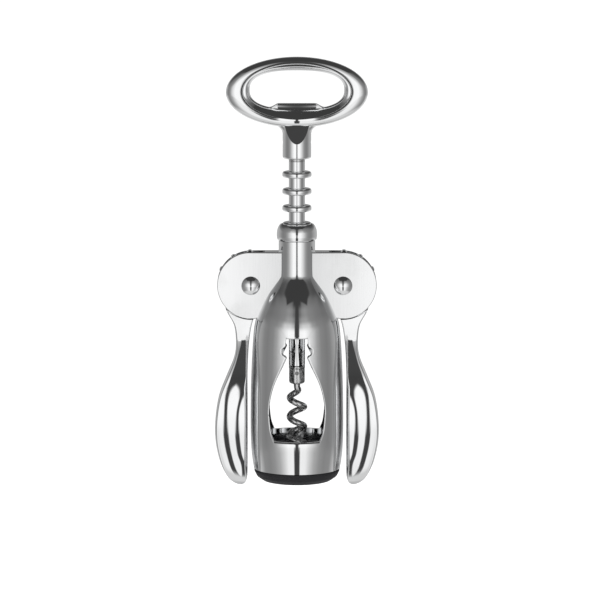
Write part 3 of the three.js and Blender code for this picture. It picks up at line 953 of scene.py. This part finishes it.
def left_lever():
    """The arm cut clear of the cheeks, with its root and gear joined back on."""
    at = (-pivot.x, 0, pivot.z)
    root = lever_arm()
    carve(root, block("slab", (-60, -ROOT_HALF, -20), (10, ROOT_HALF, 120)), "INTERSECT")
    piece = lever_arm()
    carve(piece, cylinder("clearance", CLEARANCE_R, -14, 14, "Y", at, 160))
    carve(piece, raised_cheek(at))
    carve(piece, root, "UNION")
    carve(piece, gear(), "UNION")
    carve(piece, cylinder("pin_hole", PIN_HOLE_R, -10, 10, "Y", at, 48))
    piece.name = "left_lever_casting"
    return piece


def right_lever(left):
    only(left)
    bpy.ops.object.duplicate()
    piece = bpy.context.object
    piece.name = "right_lever_casting"
    bpy.ops.object.mode_set(mode="EDIT")
    bpy.ops.mesh.select_all(action="SELECT")
    bpy.ops.transform.mirror(constraint_axis=(True, False, False), orient_type="GLOBAL",
                             center_override=(0, 0, 0))
    bpy.ops.mesh.normals_make_consistent(inside=False)
    object_mode()
    return piece


left = left_lever()
right = right_lever(left)
smooth(left, 30)
smooth(right, 30)
finished(left, "left_arm", "chrome_levers", "left_lever")
finished(right, "right_arm", "chrome_levers", "right_lever")

# %% [markdown]
# ## The handle
# The handle is one casting: an oval ring with a rounded band, a thin inner edge, and a
# tongue at the bottom for bottle caps. Its section changes all the way round, so the
# ring is a grid again, with the tongue drawn into the line of its inner edge. A socket
# and a web join it to the rod, and two facets thin the socket towards the oval.

# %% Oval ring
OVAL_Z = 172.0
SIDE, TOP = 31.0, 15.48
CREST_SIDE, CREST_TOP, CREST_LIFT = 23.8, 12.25, 0.65
HOLE_SIDE, HOLE_TOP, HOLE_LIFT, HOLE_POWER = 20.7, 8.55, 1.0, 2.5
TONGUE_FOOT = 12.6
TONGUE_HALF, TONGUE_TOP = 7.5, 167.1
CREST = 4.2


def oval(side, top, angle, lift=0.0, power=2.0):
    """A point of an oval; powers over 2 make it squarer."""
    c, s = math.cos(angle), math.sin(angle)
    size = (abs(c) ** power + abs(s) ** power) ** (-1 / power)
    return side * c * size, OVAL_Z + lift + top * s * size


def hole_edge(angle):
    """The hole's edge with the tongue in it, and how far it is tongue, cove and top bevel."""
    x, z = oval(HOLE_SIDE, HOLE_TOP, angle, HOLE_LIFT, HOLE_POWER)
    if z > OVAL_Z:
        return x, z, 0.0, 0.0, ease((z - OVAL_Z) / 8)
    tongue = ease((TONGUE_FOOT - abs(x)) / (TONGUE_FOOT - TONGUE_HALF - 0.4))
    cove = ease((OVAL_Z + 0.5 - z) / 4.5)
    return x, z + (TONGUE_TOP - z) * tongue, tongue, cove, 0.0


def finer(points):
    """The same section with more points, still through each one."""
    return curve_through(points, 3 * (len(points) - 1))[1:]


# The band's steps run from the outer edge (0) to the crest (1), close together at both ends
BAND = [0] + [math.sin(math.pi / 2 * (i / 18)) ** 2 for i in range(1, 18)] + [1.0]
# Each section runs from the crest (0) to the hole's edge (1), with half its depth in mm
PLAIN = finer([
    (0.0, CREST), (0.03, 4.12), (0.06, 3.92), (0.1, 3.76), (0.16, 3.7), (0.24, 3.68), (0.34, 3.64),
    (0.44, 3.56), (0.54, 3.4), (0.66, 3.08), (0.79, 2.55), (0.91, 1.85), (1.0, 1.0),
])
BEVEL = finer([
    (0.0, CREST), (0.03, 4.12), (0.06, 3.92), (0.1, 3.76), (0.16, 3.7), (0.24, 3.67), (0.34, 3.6),
    (0.44, 3.46), (0.54, 3.2), (0.66, 2.75), (0.79, 2.15), (0.91, 1.55), (1.0, 0.9),
])
COVE = finer([
    (0.0, CREST), (0.04, 4.14), (0.09, 4.02), (0.16, 3.86), (0.25, 3.66), (0.35, 3.42), (0.46, 3.16),
    (0.57, 2.9), (0.68, 2.64), (0.78, 2.36), (0.87, 2.0), (0.95, 1.5), (1.0, 0.8),
])
TONGUE = finer([
    (0.0, CREST), (0.04, 4.1), (0.08, 3.95), (0.12, 3.8), (0.17, 3.62), (0.24, 3.35), (0.32, 3.0),
    (0.41, 2.5), (0.51, 1.9), (0.6, 1.3), (0.66, 1.1), (0.95, 1.75), (1.0, 1.45),
])


def blended(first, second, share):
    """A section part of the way from first to second."""
    return [(a + (c - a) * share, b + (d - b) * share) for (a, b), (c, d) in zip(first, second)]


def ring_section(angle):
    """One section of the ring, from its outer edge over the crest to the hole, front and back."""
    outer = oval(SIDE, TOP, angle)
    crest = oval(CREST_SIDE, CREST_TOP, angle, CREST_LIFT)
    hx, hz, tongue, cove, bevel = hole_edge(angle)
    swell = 0.7 * math.exp(-(outer[0] / 4.5) ** 2 / 2) if outer[1] < OVAL_Z else 0
    front = []
    for u in BAND:
        y = (CREST + swell) * (1 - (1 - u) ** 2.5) ** 0.4
        front.append((outer[0] + (crest[0] - outer[0]) * u, y, outer[1] + (crest[1] - outer[1]) * u))
    profile = blended(blended(blended(PLAIN, BEVEL, bevel), COVE, cove), TONGUE, tongue)
    for s, y in profile:
        y += swell * (1 - s) ** 3
        front.append((crest[0] + (hx - crest[0]) * s, y, crest[1] + (hz - crest[1]) * s))
    return [(x, -y, z) for x, y, z in front] + [(x, y, z) for x, y, z in reversed(front)]


def oval_ring():
    rows = 240
    sections = [ring_section(2 * math.pi * i / rows) for i in range(rows)]
    columns = len(sections[0])

    def place(row, column):
        return sections[row % rows][column % columns]

    return skin("oval_handle", rows, columns, place)


# %% Socket, web and the whole handle
SOCKET_R = 6.25
SOCKET_EDGE = 1.1
SOCKET_LOW = 142.8
SOCKET_HIGH = 158.4
FACET_TIP = 149.7
FACET_TILT = 20.5


def socket_solid():
    """A round bar with its lower edge rounded over."""
    edge = []
    for i in range(9):
        angle = math.pi / 2 * i / 8
        radius = SOCKET_R - SOCKET_EDGE + SOCKET_EDGE * math.sin(angle)
        edge.append((radius, SOCKET_LOW + SOCKET_EDGE - SOCKET_EDGE * math.cos(angle)))
    return turned("socket", [
        (1e-4, SOCKET_LOW), *edge, (SOCKET_R, SOCKET_HIGH), (1e-4, SOCKET_HIGH),
    ], 128)


def web_solid():
    """The web that spreads the round socket out into the oval's underside."""
    sizes = curve_through([
        (SOCKET_R - 0.12, 152.6), (SOCKET_R + 0.06, 154.2), (7.0, 155.8), (8.6, 157.1), (11.0, 158.1),
        (14.0, 159.0),
    ], 20)
    rows = [(1e-4, 1e-4, sizes[0][1])]
    rows += [(w, SOCKET_R - 0.14 - 2.9 * ease((z - 153) / 6), z) for w, z in sizes]
    rows.append((1e-4, 1e-4, sizes[-1][1]))

    def place(row, column):
        angle = 2 * math.pi * (column % 96) / 96
        wide, deep, z = rows[row]
        return wide * math.sin(angle), -deep * math.cos(angle), z

    return skin("web", len(rows) - 1, 96, place)


def cut_facets(piece):
    """Two flat facets, front and back, lean in towards the oval."""
    for side in (-1, 1):
        facet = block("facet", (-15, min(0, side * 6), 0), (15, max(0, side * 6), 16))
        turn = Matrix.Rotation(math.radians(side * FACET_TILT), 4, "X")
        facet.data.transform(Matrix.Translation(Vector((0, side * SOCKET_R, FACET_TIP)) * MM) @ turn)
        carve(piece, facet)


def facet_edges(edge):
    """The edges round the facets, which bend less than the oval's own rows do."""
    middle = (edge.verts[0].co + edge.verts[1].co) / 2 / MM
    return middle.z < 157.9 and abs(middle.x) < 7 and edge.calc_face_angle(0) > math.radians(12)


def handle_casting():
    stem = socket_solid()
    carve(stem, web_solid(), "UNION")
    cut_facets(stem)
    piece = oval_ring()
    carve(piece, stem, "UNION")
    carve(piece, cylinder("bore", 2.5, SOCKET_LOW - 5, 156.2, sides=64))
    carve(piece, cylinder("pin_hole", 1.05, -10, 10, "X", (0, 0, HANDLE_PIN_Z), 40))
    smooth(piece, 65, facet_edges)
    return piece


finished(handle_casting(), "spindle", "chrome_handle", "handle_casting")
finished(cross_pin("handle_pin", 1.0, 6.1, "X", HANDLE_PIN_Z), "spindle", "steel", "handle_cross_pin")


# %% [markdown]
# ## Finishes
# Polished chrome is a mirror with faults: long soft waves from the casting under it, a
# haze of fine polishing lines, and faint smudges that only change its roughness. The
# faults are one node group, so every metal can have its own amount of each.

# %% The group of surface faults
def surface_group():
    tree = bpy.data.node_groups.new("surface_faults", "ShaderNodeTree")
    for name in ("Roughness", "Smudge", "Wave", "Lines"):
        tree.interface.new_socket(name, in_out="INPUT", socket_type="NodeSocketFloat")
    tree.interface.new_socket("Tint", in_out="INPUT", socket_type="NodeSocketColor")
    tree.interface.new_socket("Color", in_out="OUTPUT", socket_type="NodeSocketColor")
    tree.interface.new_socket("Roughness", in_out="OUTPUT", socket_type="NodeSocketFloat")
    tree.interface.new_socket("Normal", in_out="OUTPUT", socket_type="NodeSocketVector")
    given = node(tree, "NodeGroupInput")
    out = node(tree, "NodeGroupOutput")
    place = node(tree, "ShaderNodeTexCoord").outputs["Object"]

    def noise(scale, detail, stretch=None):
        made = node(tree, "ShaderNodeTexNoise", Scale=scale, Detail=detail)
        source = place
        if stretch:
            mapping = node(tree, "ShaderNodeMapping")
            mapping.inputs["Scale"].default_value = stretch
            tree.links.new(place, mapping.inputs["Vector"])
            source = mapping.outputs[0]
        tree.links.new(source, made.inputs["Vector"])
        return made.outputs[0]

    smudge = steps_between(tree, noise(55, 5), 0.46, 0.72)
    haze = noise(900, 2, (1, 1, 0.12))
    rough = math_node(tree, "MULTIPLY_ADD", smudge, given.outputs["Smudge"], given.outputs["Roughness"])
    rough = math_node(tree, "MULTIPLY_ADD", haze, 0.012, rough)
    tree.links.new(rough, out.inputs["Roughness"])

    dulled = node(tree, "ShaderNodeMix", data_type="RGBA", blend_type="MULTIPLY")
    tree.links.new(math_node(tree, "MULTIPLY", smudge, 0.35), dulled.inputs["Factor"])
    tree.links.new(given.outputs["Tint"], dulled.inputs["A"])
    dulled.inputs["B"].default_value = (0.93, 0.93, 0.92, 1)
    tree.links.new(dulled.outputs["Result"], out.inputs["Color"])

    wave = node(tree, "ShaderNodeBump", Distance=0.001)
    tree.links.new(given.outputs["Wave"], wave.inputs["Strength"])
    tree.links.new(noise(70, 1), wave.inputs["Height"])
    lines = node(tree, "ShaderNodeBump", Distance=0.0001)
    tree.links.new(given.outputs["Lines"], lines.inputs["Strength"])
    tree.links.new(noise(1400, 2, (1, 1, 0.05)), lines.inputs["Height"])
    tree.links.new(wave.outputs[0], lines.inputs["Normal"])
    tree.links.new(lines.outputs[0], out.inputs["Normal"])
    return tree


faults = surface_group()


def inner_flanks(tree):
    """1 on the levers' sides that face the bottle, which no buffing wheel reaches."""
    place = node(tree, "ShaderNodeTexCoord")
    split = node(tree, "ShaderNodeSeparateXYZ")
    tree.links.new(place.outputs["Object"], split.inputs[0])
    side = steps_between(tree, math_node(tree, "ABSOLUTE", split.outputs[0]), 22.6 * MM, 22.3 * MM)
    below = steps_between(tree, split.outputs[2], 66 * MM, 62 * MM)
    return math_node(tree, "MULTIPLY", side, below)


def material(name, tint, metallic, roughness, smudge, wave, lines, specular=0.5, dull=0.0):
    """A shader with these amounts of each fault; dull is what the inner flanks add to it."""
    made = bpy.data.materials.new(name)
    made.use_nodes = True
    tree = made.node_tree
    shader = tree.nodes["Principled BSDF"]
    shader.inputs["Metallic"].default_value = metallic
    shader.inputs["Specular IOR Level"].default_value = specular
    group = node(tree, "ShaderNodeGroup", node_tree=faults)
    group.inputs["Tint"].default_value = (*tint, 1)
    for key, value in (("Roughness", roughness), ("Smudge", smudge), ("Wave", wave), ("Lines", lines)):
        group.inputs[key].default_value = value
    tree.links.new(group.outputs["Color"], shader.inputs["Base Color"])
    rough = group.outputs["Roughness"]
    if dull:
        rough = math_node(tree, "MULTIPLY_ADD", inner_flanks(tree), dull, rough)
    tree.links.new(rough, shader.inputs["Roughness"])
    tree.links.new(group.outputs["Normal"], shader.inputs["Normal"])
    return made


CHROME = ((0.93, 0.935, 0.94), 1, 0.03, 0.05, 0.006, 0.008)
finishes = {
    "chrome": material("polished_chrome", *CHROME),
    "lever_chrome": material("lever_chrome", *CHROME, dull=0.4),
    "steel": material("turned_steel", (0.66, 0.66, 0.66), 1, 0.16, 0.08, 0.01, 0.2),
    "polymer": material("black_polymer", (0.018, 0.018, 0.02), 0, 0.5, 0.1, 0.02, 0.3, 0.12),
    "nylon": material("natural_nylon", (0.72, 0.70, 0.64), 0, 0.5, 0.1, 0.02, 0.1, 0.4),
}


# %% Which finish goes where
SLOT_FINISH = {
    "chrome_body": "chrome", "chrome_levers": "lever_chrome", "chrome_pins": "chrome",
    "chrome_rack": "chrome", "chrome_handle": "chrome", "black_polymer": "polymer", "steel": "steel",
    "steel_worm": "steel", "nylon": "nylon",
}
node_slots = {part["node"]: part["material_slot"] for part in frame["record"]["subparts"]}
for piece in (o for o in bpy.data.objects if o.type == "MESH"):
    slot = piece.get("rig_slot") or node_slots.get(piece.name)
    if slot is None:
        continue
    piece.data.materials.clear()
    piece.data.materials.append(finishes[SLOT_FINISH[slot]])

# %% [markdown]
# ## The floor
# In use the corkscrew stands on a bottle's mouth and the worm comes out below it, so the
# plain white floor lies well under the lowest point that the worm reaches. Mirrors would
# show its far edge as a hard line, so only the camera sees it, and the studio's own pale
# table is what the chrome reflects.

# %% Floor and light
worm_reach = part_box("worm")[0].z - joints["rack_slide"]["range_m"][1]
floor_height = min(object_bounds()[0].z, worm_reach) - 45 * MM
floor = added("floor", bpy.ops.mesh.primitive_circle_add, vertices=96, radius=0.45, fill_type="NGON",
              location=(0, 0, floor_height))
floor.visible_glossy = False
white = bpy.data.materials.new("white_floor")
white.use_nodes = True
shader = white.node_tree.nodes["Principled BSDF"]
shader.inputs["Base Color"].default_value = (0.95, 0.95, 0.95, 1)
shader.inputs["Roughness"].default_value = 0.9
floor.data.materials.append(white)

light_data = bpy.data.lights.new("overhead", "AREA")
light_data.size = 1.6
light_data.energy = 60
overhead = bpy.data.objects.new("overhead", light_data)
overhead.location = (0, -0.35, 1.5)
overhead.rotation_euler = (math.radians(-13), 0, 0)
overhead.visible_glossy = False
scene.collection.objects.link(overhead)
